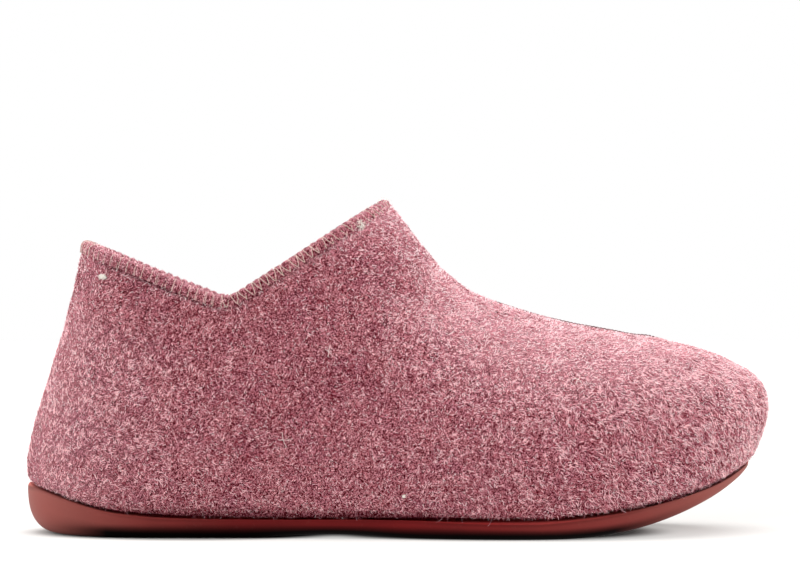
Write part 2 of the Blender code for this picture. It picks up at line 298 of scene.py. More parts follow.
def rubber_finish():
    """Satin rubber, greyed towards its ends by dust and by painted light, and darker near the floor with
    painted shade.
    """
    finish = Finish("red_brown_rubber", (0.22, 0.014, 0.014), 0.5, Specular_IOR_Level=0.04)
    place = finish.place()
    tone = finish.clouds(place, 24)
    colour = finish.ramp(tone, (0.3, RUBBER_TONES[0]), (0.7, RUBBER_TONES[1]))
    run = finish.spread(finish.part(place, "X"), -HALF_LENGTH * MM, HALF_LENGTH * MM)
    dust_and_light, shaded = (
        finish.ramp(run, *[(at / (2 * HALF_LENGTH), (share,) * 3) for at, share in table])
        for table in (DUST_AND_LIGHT, SHADED)
    )
    # dust, and painted light, towards the heel and toe
    dusty_and_lit = finish.mixed(dust_and_light, colour, DUST_AND_LIGHT_COLOUR)
    specks = finish.ramp(finish.clouds(place, 1.6, detail=5), (0.62, (0, 0, 0)), (0.85, (0.2, 0.2, 0.2)))
    speckled = finish.mixed(specks, dusty_and_lit, SPECK_COLOUR)
    turned = finish.spread(finish.part(finish.normal(), "Z"), -1.0, 1.0)
    turned_shade = finish.ramp(turned, *[((up + 1) / 2, (light,) * 3) for up, light in SHADE])
    low_shade, edge_shade = (
        finish.ramp(
            finish.spread(finish.measure(name), 0.0, SHADE_REACH),
            *[(at / SHADE_REACH, (light,) * 3) for at, light in table],
        )
        for name, table in (("over_floor", FLOOR_SHADE), ("under_edge", EDGE_SHADE))
    )
    # painted shade and painted light laid over the rubber's colour
    shade = finish.mixed(1.0, turned_shade, low_shade, "MULTIPLY")
    shady = finish.mixed(shaded, speckled, shade, "MULTIPLY")
    finish.feed(finish.shader.inputs["Base Color"], finish.mixed(1.0, shady, edge_shade, "MULTIPLY"))
    finish.feed(finish.shader.inputs["Roughness"], finish.spread(tone, 0.0, 1.0, 0.58, 0.44))
    finish.bump(finish.clouds(place, 0.5, detail=2), 0.012)
    return finish.material


sole = smooth_copy("outsole", "rubber_sole", 2)
draw_in_top(sole)
sole.data.materials.append(rubber_finish())
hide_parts("outsole")
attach(sole, "root")


# The insole is a flat pad of pressed felt, cut to the foot and laid on the sole inside the upper.
# Its soft edge is pushed out to the wall all round, and only its top can be seen, through the mouth.
WALL_GAP, WALL_REACH = 1.0, 5.0  # what is left between pad and wall, and how far the edge is pushed at most
WALL_FOOT = 3.0  # the wall is looked for this much higher, clear of its foot
PAD_EDGE = 1.5  # how soon the pad's rounded edge counts as facing the wall
PAD_TONES = ((0.16, 0.045, 0.058), (0.47, 0.205, 0.235))


def surface_of(mesh):
    """A mesh's surface as a tree that can be searched and hit by rays."""
    solid = bmesh.new()
    solid.from_mesh(mesh)
    tree = BVHTree.FromBMesh(solid)
    solid.free()
    return tree


def push_out_edge(piece):
    """The pad's edge pushed out to the upper's wall."""
    wall = surface_of(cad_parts["upper"].data)
    places, normals = arrays_of(piece.data)
    out, _ = from_spine(places)
    edge = np.clip(PAD_EDGE * (out * normals).sum(axis=1), 0, 1)
    for number in np.flatnonzero(edge):
        start = Vector(places[number]) + Vector((0, 0, WALL_FOOT * MM))
        gap = wall.ray_cast(start, Vector(out[number]))[3]
        if gap is not None:
            push = np.clip(gap / MM - WALL_GAP, 0, WALL_REACH)
            places[number] += out[number] * edge[number] * push * MM
    piece.data.vertices.foreach_set("co", places.ravel())
    piece.data.update()


def pressed_felt_finish():
    """Flecked felt, pressed flat."""
    finish = Finish("pressed_felt", (0.36, 0.13, 0.16), 0.95, Sheen_Weight=0.2, Sheen_Roughness=0.6)
    place = finish.place()
    flecks = finish.clouds(place, 0.7, detail=4, distortion=1.0)
    colour = finish.ramp(flecks, (0.32, PAD_TONES[0]), (0.66, PAD_TONES[1]))
    finish.feed(finish.shader.inputs["Base Color"], colour)
    finish.bump(flecks, 0.25)
    return finish.material


insole = smooth_copy("insole", "felt_insole", 2)
push_out_edge(insole)
insole.data.materials.append(pressed_felt_finish())
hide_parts("insole")
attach(insole, "root")


# The upper is one wrap of thick wool felt, light pink fibres over a wine ground, moulded round the last.
# It is a little uneven all over, hollow beside the instep, and drawn in along its seam and its collar's
# needle line. Its cut foot is turned in a little over the sole, where a dark line is left between them.
MIDDLE_SIDE = 1.05  # the last's axis lies this far towards the outer side of the frame's own middle
SPINE_DRIFT = 6.0  # how far the spine itself runs towards the big toe
SEAM_TURN = 205.0  # ahead of here the seam drifts further towards the big toe
SEAM_DRIFT, SEAM_DRIFT_RUN = 12.0, 45.0  # by this much, over this length
SEAM_GROOVE = (0.55, 1.5)  # depth and half width
SEAM_BACK, SEAM_LOW = 118.0, 25.0  # the groove lies ahead of this place and above this height
OFF_SEAM = 99.0  # stands for any place elsewhere
COLLAR_HEEL, COLLAR_FALL = (20.0, 98.9), 0.41
COLLAR_DIP, COLLAR_CLIMB, COLLAR_DIP_ROUND = (68.5, 77.6), 0.665, 1.8
NEEDLE_LINE, NEEDLE_GROOVE = 3.8, (0.65, 1.0)  # distance under the edge; depth and half width
NEEDLE_ENDS = 1.15  # the groove dies out where the collar turns round the heel and the peak
NEEDLE_LEAST, NEEDLE_FRONT = 0.1, 0.6  # down to this share, and it is shallower ahead of the dip
# Distance under the edge, height and half width of the swelling below the groove
NEEDLE_BULGE = (6.5, 0.15, 1.8)
EDGE_TRIM, TRIM_REACH = 1.3, 3.0  # how much lower the wall ends inside the collar's stitched edge
# How far the foot's corner is turned in and up, and over what height
FOOT_TUCK, FOOT_LIFT, FOOT_HEIGHT = 0.8, 0.9, 2.4
FOOT_TURN = (0.5, 1.2)  # share taken by faces square to the way out, and how fast it grows as they face out
RISE_HEIGHT = 7.0  # up to where the felt follows its foot's rise
# Over these lengths at the heel and the toe, and down to this share, the foot is turned less
FOOT_HEEL_REACH, FOOT_TOE_REACH, FOOT_END_SHARE = 36.0, 45.0, 0.15
CORE_HEIGHT = 38.0  # height of the middle of the toe room
SHEEN_TINT = (1.0, 0.62, 0.66, 1)
# How far the wine ground is painted paler, as painted light, where it faces up and at the heel end; it
# starts and is full at these upward parts of the normal, and at these places along X, in metres
PALER_TOP, PALER_FACES = 0.5, (0.35, 0.95)
PALER_HEEL, PALER_HEEL_RUN = 0.20, (-0.075, -0.12)
PALER_COLOUR = (0.62, 0.33, 0.365, 1)
LUMPS = ((9.0, 0.30), (3.2, 0.14))  # width and height of the felt's own unevenness
INNER_FOLLOWS = 0.3  # the inside follows the outside's unevenness by this share

Hollow = namedtuple("Hollow", "along height length breadth tilt depth")
HOLLOWS = (
    Hollow(131, 80, 17, 6, -0.25, 1.0),
    Hollow(118, 88, 14, 5, 0.5, 0.5),
    Hollow(50, 60, 22, 14, 0.2, 0.4),
)


def seam_side(along):
    """Sideways place of the instep seam in the frame, in millimetres."""
    spine = (along - SPINE[0]) / (SPINE[1] - SPINE[0]) * SPINE_DRIFT
    return spine + SEAM_DRIFT * (np.maximum(along - SEAM_TURN, 0) / SEAM_DRIFT_RUN) ** 2 - MIDDLE_SIDE


def faces_out(places, normals):
    """True where a corner is on the outside of the wall: its normal points away from the last's spine."""
    way, reach = from_spine(places)
    out = way * reach * MM
    out[:, 2] = places[:, 2] - CORE_HEIGHT * MM
    return (out * normals).sum(axis=1) > 0


def collar(along):
    """Height of the collar's edge: two slopes with a rounded dip between them."""
    fall = COLLAR_HEEL[1] - COLLAR_FALL * (along - COLLAR_HEEL[0])
    climb = COLLAR_DIP[1] + COLLAR_CLIMB * (along - COLLAR_DIP[0])
    return (fall + climb) / 2 + np.hypot((fall - climb) / 2, COLLAR_DIP_ROUND)


def below_collar(points):
    """How far points lie under the collar's edge, square to it, in millimetres."""
    along = along_of(points)
    slope = (collar(along + 0.1) - collar(along - 0.1)) / 0.2
    return (collar(along) - points[:, 2] / MM) / np.hypot(1, slope)


def distance(tree, place, most):
    """How far a place lies outside a surface, in millimetres, up to a most."""
    nearest, normal, _, found = tree.find_nearest(Vector(place), most * MM)
    if found is None:
        return most
    return found / MM if normal.dot(Vector(place) - nearest) > 0 else 0.0


def oval(spot, along, height):
    """1 in the middle of a tilted oval on the side of the boot, falling off smoothly all round."""
    forward, up = along - spot.along, height - spot.height
    run, rise = forward + up * spot.tilt, up - forward * spot.tilt
    return np.exp(-((run / spot.length) ** 2) - (rise / spot.breadth) ** 2)


upper = smooth_copy("upper", "felt_upper", 2)
places, normals = arrays_of(upper.data)
outside = faces_out(places, normals)
lift = np.zeros(len(places))
for width, height in LUMPS:
    lift += [height * noise.noise(Vector(place) / (width * MM)) for place in places]
along, height = along_of(places), places[:, 2] / MM
for hollow in HOLLOWS:
    lift -= hollow.depth * oval(hollow, along, height)
by_seam = (along > SEAM_BACK) & (height > SEAM_LOW)
off_seam = np.where(by_seam, np.abs(places[:, 1] / MM - seam_side(along)), OFF_SEAM)
lift -= SEAM_GROOVE[0] * hump(off_seam, 0, SEAM_GROOVE[1])
below = below_collar(places)
wrapped = along < 2 * COLLAR_DIP[0]  # the collar ends at the instep's peak, well behind the toes
drawn = wrapped * np.clip(NEEDLE_ENDS - np.abs(normals[:, 0]), NEEDLE_LEAST, 1)
drawn = drawn * np.where(along > COLLAR_DIP[0], NEEDLE_FRONT, 1.0)
lift -= drawn * NEEDLE_GROOVE[0] * hump(below, NEEDLE_LINE, NEEDLE_GROOVE[1])
lift += drawn * NEEDLE_BULGE[1] * hump(below, NEEDLE_BULGE[0], NEEDLE_BULGE[2])
lift[~outside] *= -INNER_FOLLOWS
moved = places + normals * lift[:, None] * MM
moved[:, 2] -= EDGE_TRIM * np.clip(1 - below / TRIM_REACH, 0, None) * wrapped * MM
sole_surface = surface_of(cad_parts["outsole"].data)
near_sole = np.array([distance(sole_surface, place, RISE_HEIGHT) for place in places])
way_out, _ = from_spine(places)
outer = np.clip(FOOT_TURN[0] + FOOT_TURN[1] * (way_out * normals).sum(axis=1), 0, 1)
from_ends = np.minimum(along / FOOT_HEEL_REACH, (2 * HALF_LENGTH - along) / FOOT_TOE_REACH)
ends = np.clip(from_ends, FOOT_END_SHARE, 1)
foot = (outer * ends * np.clip(1 - near_sole / FOOT_HEIGHT, 0, 1) ** 2)[:, None]
moved += foot * (np.array((0, 0, FOOT_LIFT)) - way_out * FOOT_TUCK) * MM
moved[:, 2] += read(EDGE_RISE, "felt", along) * outer * (1 - near_sole / RISE_HEIGHT) ** 2 * MM
upper.data.vertices.foreach_set("co", moved.ravel())
upper.data.update()


def felt_finish():
    """Wool felt: pink fibres on a wine ground, blotched, and painted paler on top and at the heel, as
    painted light.
    """
    finish = Finish(
        "wool_felt",
        (0.40, 0.15, 0.18),
        0.95,
        Sheen_Weight=0.04,
        Sheen_Tint=SHEEN_TINT,
        Specular_IOR_Level=0.0,
    )
    place = finish.place()
    blots = finish.clouds(place, 9, detail=3, distortion=0.6)
    fibres = finish.clouds(place, 0.42, detail=3, distortion=1.2)
    ground = finish.ramp(
        fibres,
        (0.43, (0.055, 0.002, 0.006)),
        (0.50, (0.24, 0.030, 0.046)),
        (0.57, (0.70, 0.31, 0.35)),
    )
    tint = finish.ramp(blots, (0.35, (0.80, 0.70, 0.78)), (0.65, (1.0, 1.0, 1.0)))
    on_top = finish.spread(finish.part(finish.normal(), "Z"), *PALER_FACES, PALER_TOP)
    at_heel = finish.spread(finish.part(place, "X"), *PALER_HEEL_RUN, PALER_HEEL)
    tinted = finish.mixed(1.0, ground, tint, "MULTIPLY")
    # painted light: the ground paler where it faces up and at the heel
    lit_paler = finish.mixed(finish.joined("MAXIMUM", on_top, at_heel), tinted, PALER_COLOUR)
    finish.feed(finish.shader.inputs["Base Color"], lit_paler)
    finish.bump(fibres, 0.35)
    return finish.material


wool_felt = felt_finish()
upper.data.materials.append(wool_felt)
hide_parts("upper")
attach(upper, "root")


# The instep seam: the two edges of the wrap butted together from the collar's peak to the toe.
# They are drawn tight by short slanting stitches of dark wine thread sunk in a shallow groove.
SEAM_START, SEAM_END = 124.5, 250.0
SEAM_FOOT = 28.0  # height at which the seam reaches the sole's toe cup
SEAM_STEPS, TOE_STEPS, SEAM_STEP = 120, 12, 0.5  # rays over top and toe, and the line's own step
ABOVE, AHEAD, BESIDE = 200.0, 300.0, -200.0  # rays start well off the felt
STITCH_PITCH, STITCH_REACH, STITCH_RADIUS = 1.3, 1.3, 0.22
STITCH_POINTS, STITCH_SLANT, STITCH_SINK = 7, 0.8, 0.7  # how far its ends go ahead, and down into the felt
# Place along the boot, and height of the stitches over the felt
STITCH_LIFT = ((150, 0.05), (166, 0.8), (214, 0.95), (228, 0.1))


def hit(tree, start, way):
    """Place and normal where a ray from start, in millimetres along the boot, meets the felt."""
    origin = Vector((start[0] - HALF_LENGTH, start[1], start[2])) * MM
    place, normal, _, _ = tree.ray_cast(origin, Vector(way))
    return np.array(place), np.array(normal)


def evenly(points, step):
    """The numbers of a smooth row of points read again at equal steps along it, and the steps' places."""
    run = np.concatenate([[0], np.cumsum(np.linalg.norm(np.diff(points[:, :3], axis=0), axis=1))])
    at = np.linspace(0, run[-1], int(round(run[-1] / step)) + 1)
    return np.stack([np.interp(at, run, points[:, k]) for k in range(points.shape[1])], axis=1), at


def unit(vectors):
    """Vectors brought to length 1."""
    return vectors / np.linalg.norm(vectors, axis=-1, keepdims=True)


def mesh_piece(name, corners, faces):
    """A smoothly shaded piece made of corners and faces."""
    mesh = bpy.data.meshes.new(name)
    mesh.from_pydata(corners, [], faces)
    mesh.shade_smooth()
    piece = bpy.data.objects.new(name, mesh)
    bpy.context.scene.collection.objects.link(piece)
    return piece


def quads(first, second):
    """Four-cornered faces between two grids of corner numbers, from each column to the next."""
    corners = (first[:, :-1], second[:, :-1], second[:, 1:], first[:, 1:])
    return np.stack(corners, axis=-1).reshape(-1, 4).tolist()


def threads(name, paths, outward, radius, sides=6):
    """One mesh of many round threads, from a row of points for each and a normal for each point."""
    count, length = paths.shape[:2]
    ahead = unit(np.gradient(paths, axis=1))
    across = unit(np.cross(ahead, outward))
    lifted = np.cross(across, ahead)
    turns = np.linspace(0, 2 * math.pi, sides, endpoint=False)
    ring = across[:, :, None] * np.cos(turns)[:, None] + lifted[:, :, None] * np.sin(turns)[:, None]
    corners = (paths[:, :, None] + radius * ring).reshape(-1, 3)
    grid = np.arange(count * length * sides).reshape(count, length, sides)
    ends = grid[:, 0, ::-1].tolist() + grid[:, -1].tolist()
    return mesh_piece(name, corners, quads(grid, np.roll(grid, -1, axis=2)) + ends)


def dark_thread_finish():
    """Dull twisted thread."""
    finish = Finish("dark_wine_thread", (0.10, 0.016, 0.022), 0.8, Sheen_Weight=0.1)
    twist = finish.clouds(finish.place(), 0.5, detail=2, distortion=2.0)
    colour = finish.ramp(twist, (0.35, (0.06, 0.007, 0.012)), (0.65, (0.15, 0.028, 0.038)))
    finish.feed(finish.shader.inputs["Base Color"], colour)
    finish.bump(twist, 0.12)
    return finish.material


felt_surface = surface_of(upper.data)
over_top = [
    np.concatenate(hit(felt_surface, (at, seam_side(at), ABOVE), (0, 0, -1)))
    for at in np.linspace(SEAM_START, SEAM_END, SEAM_STEPS)
]
down_toe = [
    np.concatenate(hit(felt_surface, (AHEAD, seam_side(SEAM_END), at), (-1, 0, 0)))
    for at in np.linspace(over_top[-1][2] / MM, SEAM_FOOT, TOE_STEPS)[1:]
]
seam_line, _ = evenly(np.array(over_top + down_toe), SEAM_STEP * MM)
seam_rows, _ = evenly(seam_line, STITCH_PITCH * MM)
seam_ahead = unit(np.gradient(seam_rows[:, :3], axis=0))
seam_up = unit(seam_rows[:, 3:])
seam_across = np.cross(seam_up, seam_ahead)
share = np.linspace(-1, 1, STITCH_POINTS)[None, :, None]
stitch_lift = np.interp(along_of(seam_rows), *zip(*STITCH_LIFT))
stitch_paths = (
    seam_rows[:, None, :3]
    + seam_across[:, None] * share * STITCH_REACH * MM
    + seam_ahead[:, None] * share * STITCH_PITCH * STITCH_SLANT * MM
    + seam_up[:, None] * (stitch_lift[:, None, None] - STITCH_SINK * share**4) * MM
)
stitch_normals = np.repeat(seam_up[:, None], STITCH_POINTS, axis=1)
seam_stitches = threads("seam_stitches", stitch_paths, stitch_normals, STITCH_RADIUS * MM)
seam_stitches.data.materials.append(dark_thread_finish())
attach(seam_stitches, "root")


# The collar's cut edge, pressed and rounded over by the overlocking: a bead of felt that swells between
# the stitches. It hugs the top of the wall from needle line to needle line, plump round the heel and
# flatter in front.
CROWN_ABOVE, CROWN_FACING = 0.6, 0.7  # corners so high over the edge's line, facing up so much
CROWN_CURVE, CROWN_STEP = 24, 0.25  # points between two of these corners, and the crown line's own step
EDGE_REACH = 3.6  # from the crown down to the needle line
EDGE_HALF = 1.5  # half the wall's thickness
CROWN_DROP = 1.0  # how far the bead is pulled down over the wall
OVERLOCK_PITCH = 2.8
HEEL_PLUMP, FRONT_PLUMP = 0.75, 0.40  # how far the felt swells between two stitches
EDGE_FULL = 0.25  # how far the bead stands out over the wall
GAP_LEAN = 0.45  # how far, in stitches, the gaps between swellings lean over the edge
GAP_DEPTH, HEM_SUNK = 0.35, 0.35  # how deep the gaps are, and how far the hems go into the wall
SWELL_ROUND, HEM_ROUND = 0.7, 0.35  # smaller is fuller
END_FLAT = 6  # the bead lies flat only close to where it turns round the heel and the peak
FRONT_CHANGE = 10.0  # the edge changes from heel to front over this length at the dip
EDGE_POINTS = 25


def collar_crown():
    """The crown of the collar's edge as one closed row: place, and the way up the wall, at each point."""
    solid = bmesh.new()
    solid.from_mesh(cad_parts["upper"].data)
    bmesh.ops.remove_doubles(solid, verts=solid.verts, dist=1e-6)
    solid.normal_update()
    points = np.array([(*corner.co, *corner.normal) for corner in solid.verts])
    solid.free()
    points = points[(below_collar(points) < -CROWN_ABOVE) & (points[:, 5] > CROWN_FACING)]
    turn = np.arctan2(points[:, 1], along_of(points) - COLLAR_DIP[0])
    points = points[np.argsort(turn)]
    return np.concatenate([points, points[:1]])


def rounded(points, steps):
    """A closed row of points with smooth curves between them."""
    before, here = np.roll(points[:-1], 1, axis=0), points[:-1]
    after, beyond = np.roll(points[:-1], -1, axis=0), np.roll(points[:-1], -2, axis=0)
    rows = []
    for t in np.linspace(0, 1, steps, endpoint=False):
        square = 2 * before - 5 * here + 4 * after - beyond
        cube = 3 * (here - after) + beyond - before
        bend = square * t**2 + cube * t**3
        rows.append(here + ((after - before) * t + bend) / 2)
    curve = np.stack(rows, axis=1).reshape(-1, points.shape[1])
    return np.concatenate([curve, curve[:1]])


def ahead_of_dip(points):
    """0 behind the collar's dip and 1 ahead of it, changing over a short length."""
    return np.clip((along_of(points) - COLLAR_DIP[0]) / FRONT_CHANGE + 0.5, 0, 1)


crown_line, crown_run = evenly(rounded(collar_crown(), CROWN_CURVE), CROWN_STEP * MM)
ring_count = len(crown_run) - 1
crown_place = crown_line[:, :3] - np.array((0, 0, CROWN_DROP * MM))
crown_loop = np.concatenate([crown_place[-2:-1], crown_place, crown_place[1:2]])
crown_ahead = unit(np.gradient(crown_loop, axis=0)[1:-1])
crown_out = unit(np.cross(crown_ahead, crown_line[:, 3:]))
crown_up = np.cross(crown_out, crown_ahead)
STITCH_COUNT = int(round(crown_run[-1] / (OVERLOCK_PITCH * MM)))
crown_phase = crown_run / crown_run[-1] * STITCH_COUNT


def edge_section(share, offset):
    """Out and up from the crown, in mm, at a share of the way over the edge: 0 outside, 1 inside."""
    straight = EDGE_REACH - EDGE_HALF
    bow = math.pi * EDGE_HALF
    run = share * (2 * straight + bow)
    turn = np.clip((run - straight) / EDGE_HALF, 0, math.pi)
    down = np.maximum(straight - run, 0) + np.maximum(run - straight - bow, 0)
    out = np.cos(turn) * (EDGE_HALF + offset)
    up = np.sin(turn) * (EDGE_HALF + offset) - EDGE_HALF - down
    return out, up


def on_edge(index, share, offset):
    """Places on the collar's edge; index counts along the crown line."""
    out, up = edge_section(share, offset)
    return crown_place[index] + (crown_out[index] * out[..., None] + crown_up[index] * up[..., None]) * MM


edge_share = np.linspace(0, 1, EDGE_POINTS)[None, :]
crown_front = ahead_of_dip(crown_place)[:, None]
plump = (HEEL_PLUMP + (FRONT_PLUMP - HEEL_PLUMP) * crown_front)[:-1]
flat_end = 1 - np.abs(crown_out[:-1, :1]) ** END_FLAT
swell = np.abs(np.cos(math.pi * (crown_phase[:-1, None] + GAP_LEAN * (edge_share - 0.5)))) ** SWELL_ROUND
hem = np.sin(math.pi * edge_share) ** HEM_ROUND
rings = np.arange(ring_count)[:, None].repeat(EDGE_POINTS, axis=1)
edge_rise = (EDGE_FULL + plump * (swell - GAP_DEPTH)) * flat_end * hem - HEM_SUNK * (1 - hem)
edge_corners = on_edge(rings, edge_share.repeat(len(rings), axis=0), edge_rise)
edge_grid = np.arange(edge_corners.shape[0] * EDGE_POINTS).reshape(-1, EDGE_POINTS)
edge_faces = quads(edge_grid, np.roll(edge_grid, -1, axis=0))
collar_edge = mesh_piece("collar_edge", edge_corners.reshape(-1, 3), edge_faces)
collar_edge.data.materials.append(wool_felt)
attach(collar_edge, "root")


# The overlock stitching: pairs of fine threads that meet at the needle line and spread over the edge.
# The thread is pale cream on the front slopes, and half buried and pinker towards the heel.
OVERLOCK_RADIUS, OVERLOCK_SPREAD = 0.115, 1.2
SPREAD_UNEVEN = 0.25  # share by which single stitches spread more or less
FRONT_PROUD, FRONT_UNEVEN = 0.22, 0.14  # how far the threads stand over the bead in front, and how unevenly
HEEL_PROUD, HEEL_UNEVEN = 0.02, 0.16  # the same round the heel
HEEL_SPREAD = (0.02, 0.16)  # least and most spread there, in stitches
LEG_POINTS, LEG_ROUND = 17, 0.8
LEG_OVER = 0.02  # share of its length by which a thread goes past the needle line on either side
# Place along the boot, and how far the threads sink into the felt there
PEAK_SUNK = ((92, 0.0), (106, 0.26))
dice = np.random.default_rng(11)


def overlock_finish(name, light, dark):
    """Twisted thread with a little sheen."""
    finish = Finish(name, light, 0.7, Sheen_Weight=0.2)
    twist = finish.clouds(finish.place(), 0.45, detail=2, distortion=2.0)
    finish.feed(finish.shader.inputs["Base Color"], finish.ramp(twist, (0.38, dark), (0.62, light)))
    finish.bump(twist, 0.1)
    return finish.material


leg_share = np.linspace(-LEG_OVER, 1 + LEG_OVER, LEG_POINTS)
leg_bow = np.clip(np.sin(math.pi * leg_share), 0, 1) ** LEG_ROUND
leg_paths, leg_normals, leg_front = [], [], []
step = 1 / STITCH_COUNT * ring_count
for stitch in range(STITCH_COUNT):
    in_front = crown_front[int(stitch * step), 0] > 0.5
    for way in (-1, 1):
        if in_front:
            slide = way * OVERLOCK_SPREAD * (1 + SPREAD_UNEVEN * dice.standard_normal()) * leg_bow
            sunk = np.interp(along_of(crown_place)[int(stitch * step)], *zip(*PEAK_SUNK))
            proud = EDGE_FULL + FRONT_PROUD - sunk + FRONT_UNEVEN * dice.standard_normal()
        else:
            slide = OVERLOCK_PITCH * (0.5 + way * dice.uniform(*HEEL_SPREAD) - GAP_LEAN * (leg_share - 0.5))
            proud = EDGE_FULL + HEEL_PROUD + HEEL_UNEVEN * dice.standard_normal()
        turn = stitch * step + slide / CROWN_STEP + dice.uniform(-1, 1)
        index = np.rint(turn).astype(int) % ring_count
        leg_paths.append(on_edge(index, leg_share, np.full(len(leg_share), proud)))
        inner = on_edge(index, leg_share, np.full(len(leg_share), proud - 1.0))
        leg_normals.append(unit(leg_paths[-1] - inner))
        leg_front.append(in_front)
leg_paths, leg_normals, leg_front = np.array(leg_paths), np.array(leg_normals), np.array(leg_front)
for name, chosen, light, dark in (
    ("overlock_front", leg_front, (0.82, 0.67, 0.58), (0.48, 0.32, 0.28)),
    ("overlock_heel", ~leg_front, (0.80, 0.60, 0.54), (0.44, 0.24, 0.24)),
):
    overlock = threads(name, leg_paths[chosen], leg_normals[chosen], OVERLOCK_RADIUS * MM)
    overlock.data.materials.append(overlock_finish(name + "_thread", light, dark))
    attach(overlock, "root")


# The nap: loose wool fibres lying on the felt in small locks, light pink and rose over wine.
# They are combed up from the heel, tangled in the middle and brushed down and forward over the toe, and
# a thin pale down stands above them all over.

# rise: how far the locks climb for each mm forward; swirl, spread: how far, in degrees, neighbouring and
# single locks turn aside; length: of a fibre, in mm; run: how far, in mm, the fibres of a lock lie behind
# each other; streak: how strongly locks differ in tone
Nap = namedtuple("Nap", "along rise swirl spread length run streak")
NAP = (
    Nap(0, 0.5, 40, 24, 1.15, 0.40, 0.2),
    Nap(70, 0.45, 50, 28, 1.05, 0.35, 0.2),
    Nap(110, 0.0, 90, 40, 0.9, 0.30, 0.15),
    Nap(165, -0.5, 50, 28, 1.05, 0.35, 0.25),
    Nap(205, -1.0, 24, 13, 1.6, 0.65, 0.3),
    Nap(255, -1.2, 18, 11, 1.7, 0.70, 0.3),
)
LOCKS, LOCK_FIBRES, LOCK_BREADTH, LOCK_FRAY = 35000, 4, 0.26, 20.0  # fray: degrees within a lock
SWIRL_SIZE, SWIRL_GAIN, SWIRL_SHIFT = 6.0, 3, 40  # its noise is made wider, and read apart from the tones
FIBRE_CURL, FIBRE_ROLL, FIBRE_TAPER = 0.32, 0.4, (1.0, 0.9, 0.4)  # taper: its width at root, middle and tip
ROOT_DEPTH = 0.05  # how deep in the felt it is rooted
SEAM_CLEAR, DOWN_CLEAR = 1.2, 2.0  # nap and down keep this far from the instep seam
NAP_OVERLAP = 0.4  # how far the nap goes over the needle line
# The nap lies lower within this distance of the seam, and near the collar: from so far over the needle
# line, over this run below that, and down to this share of its height
LOW_BY_SEAM, LOW_BY_COLLAR, LEAST_STAND = 7.0, (2.2, 3.0), 0.3
DOWN_FIBRES, EDGE_FIBRES = 26000, 8000
DOWN_LEAST, DOWN_TOP, DOWN_TOE, DOWN_HEEL = 0.3, 4.0, 3.5, 1.2  # how thick the down is on parts of the boot
DOWN_FRAY = 60.0  # degrees
EDGE_STAND = 0.9  # how far the collar edge's fibres stand off, against the nap's
FRONT_DARKER = 1.2  # how much darker the pressed edge is in front than round the heel
INNER_SHARE = 0.07  # how thick the nap is inside the boot
# share: how many of the fibres have this tone; low, high: how far they stand off the felt; half: half their
# width; sheen: how much they shine where they are seen edge on
Tone = namedtuple("Tone", "name colour share low high half sheen")
TONES = (
    Tone("pale_wool", (0.94, 0.575, 0.61), 0.28, 0.18, 0.50, 0.092, 0.5),
    Tone("grey_wool", (0.62, 0.33, 0.37), 0.12, 0.12, 0.42, 0.085, 0.2),
    Tone("rose_wool", (0.56, 0.17, 0.212), 0.24, 0.08, 0.36, 0.085, 0.15),
    Tone("wine_wool", (0.25, 0.028, 0.045), 0.19, 0.04, 0.22, 0.095, 0.05),
    Tone("dark_wool", (0.080, 0.002, 0.008), 0.17, 0.05, 0.22, 0.10, 0.0),
    Tone("down_wool", (0.93, 0.74, 0.755), 0.0, 0.25, 0.65, 0.075, 0.6),
)
DOWN = len(TONES) - 1
TOP_PALER, END_PALER = 0.6, 0.5  # how much paler the nap is on top, and round the heel and the toe, as painted light
TONE_PATCH, PATCH_SWING = 5.0, 0.60  # width of lighter and darker patches, and how strongly they differ
FIBRE_SWING = 1.05  # how strongly fibres within a lock differ in tone
GROOVE_DARKER = 1.3  # how much darker, as painted shade, it is in the needle line's groove round the heel
GROOVE_BELOW, GROOVE_HALF = 0.3, 0.9  # how far under the needle line, and over what half width
FOOT_DARKER, FOOT_DARK_HEIGHT = 4.0, 0.7  # how much darker, as painted shade, up to this height over the sole, at its foot
FOOT_DARK_PLACES = ((15, 0), (45, 1), (130, 1), (160, 0.3), (215, 0))  # place along the boot, and share
FOOT_FOLLOWS = 0.7  # share of the foot's rise by which this goes up with it
# Larger places on the sides: the nap worn down to its dark ground or fluffed up lighter, and painted shade
# and light
WearAndShade = namedtuple("WearAndShade", "along height length breadth tilt darker")
WEAR_AND_SHADE = (
    WearAndShade(95, 62, 34, 36, 0.0, 0.50),
    WearAndShade(114, 90, 20, 20, 0.0, 0.40),
    WearAndShade(133, 95, 12, 14, 0.0, 1.25),
    WearAndShade(40, 84, 26, 14, -0.4, 0.85),
    WearAndShade(28, 75, 16, 11, -0.3, 0.35),
    WearAndShade(14, 42, 30, 40, 0.0, -0.80),
    WearAndShade(195, 48, 34, 16, 0.3, -0.30),
    WearAndShade(136, 64, 22, 10, -0.2, -0.50),
    WearAndShade(163, 73.7, 3.0, 1.3, -0.3, 2.0),
)
REGIONS = (("heel", 0, 62), ("waist", 62, 122), ("ball", 122, 182), ("toe", 182, 260))


def scattered(mesh, count, weight):
    """Places and normals spread over a mesh, thicker where a triangle's weight is larger."""
    places, normals = arrays_of(mesh)
    mesh.calc_loop_triangles()
    triangles = np.empty(len(mesh.loop_triangles) * 3, int)
    mesh.loop_triangles.foreach_get("vertices", triangles)
    triangles = triangles.reshape(-1, 3)
    first, second, third = (places[triangles[:, k]] for k in range(3))
    area = np.linalg.norm(np.cross(second - first, third - first), axis=1)
    area = area * weight((first + second + third) / 3, unit(normals[triangles].sum(axis=1)))
    chosen = triangles[dice.choice(len(triangles), count, p=area / area.sum())]
    share = dice.dirichlet((1, 1, 1), count)[:, :, None]
    return (places[chosen] * share).sum(axis=1), unit((normals[chosen] * share).sum(axis=1))


def nap_weight(places, normals):
    """Full outside, thin inside, and none on the collar's edge."""
    on_wall = below_collar(places) > NEEDLE_LINE - NAP_OVERLAP
    return np.where(faces_out(places, normals), 1.0, INNER_SHARE) * on_wall


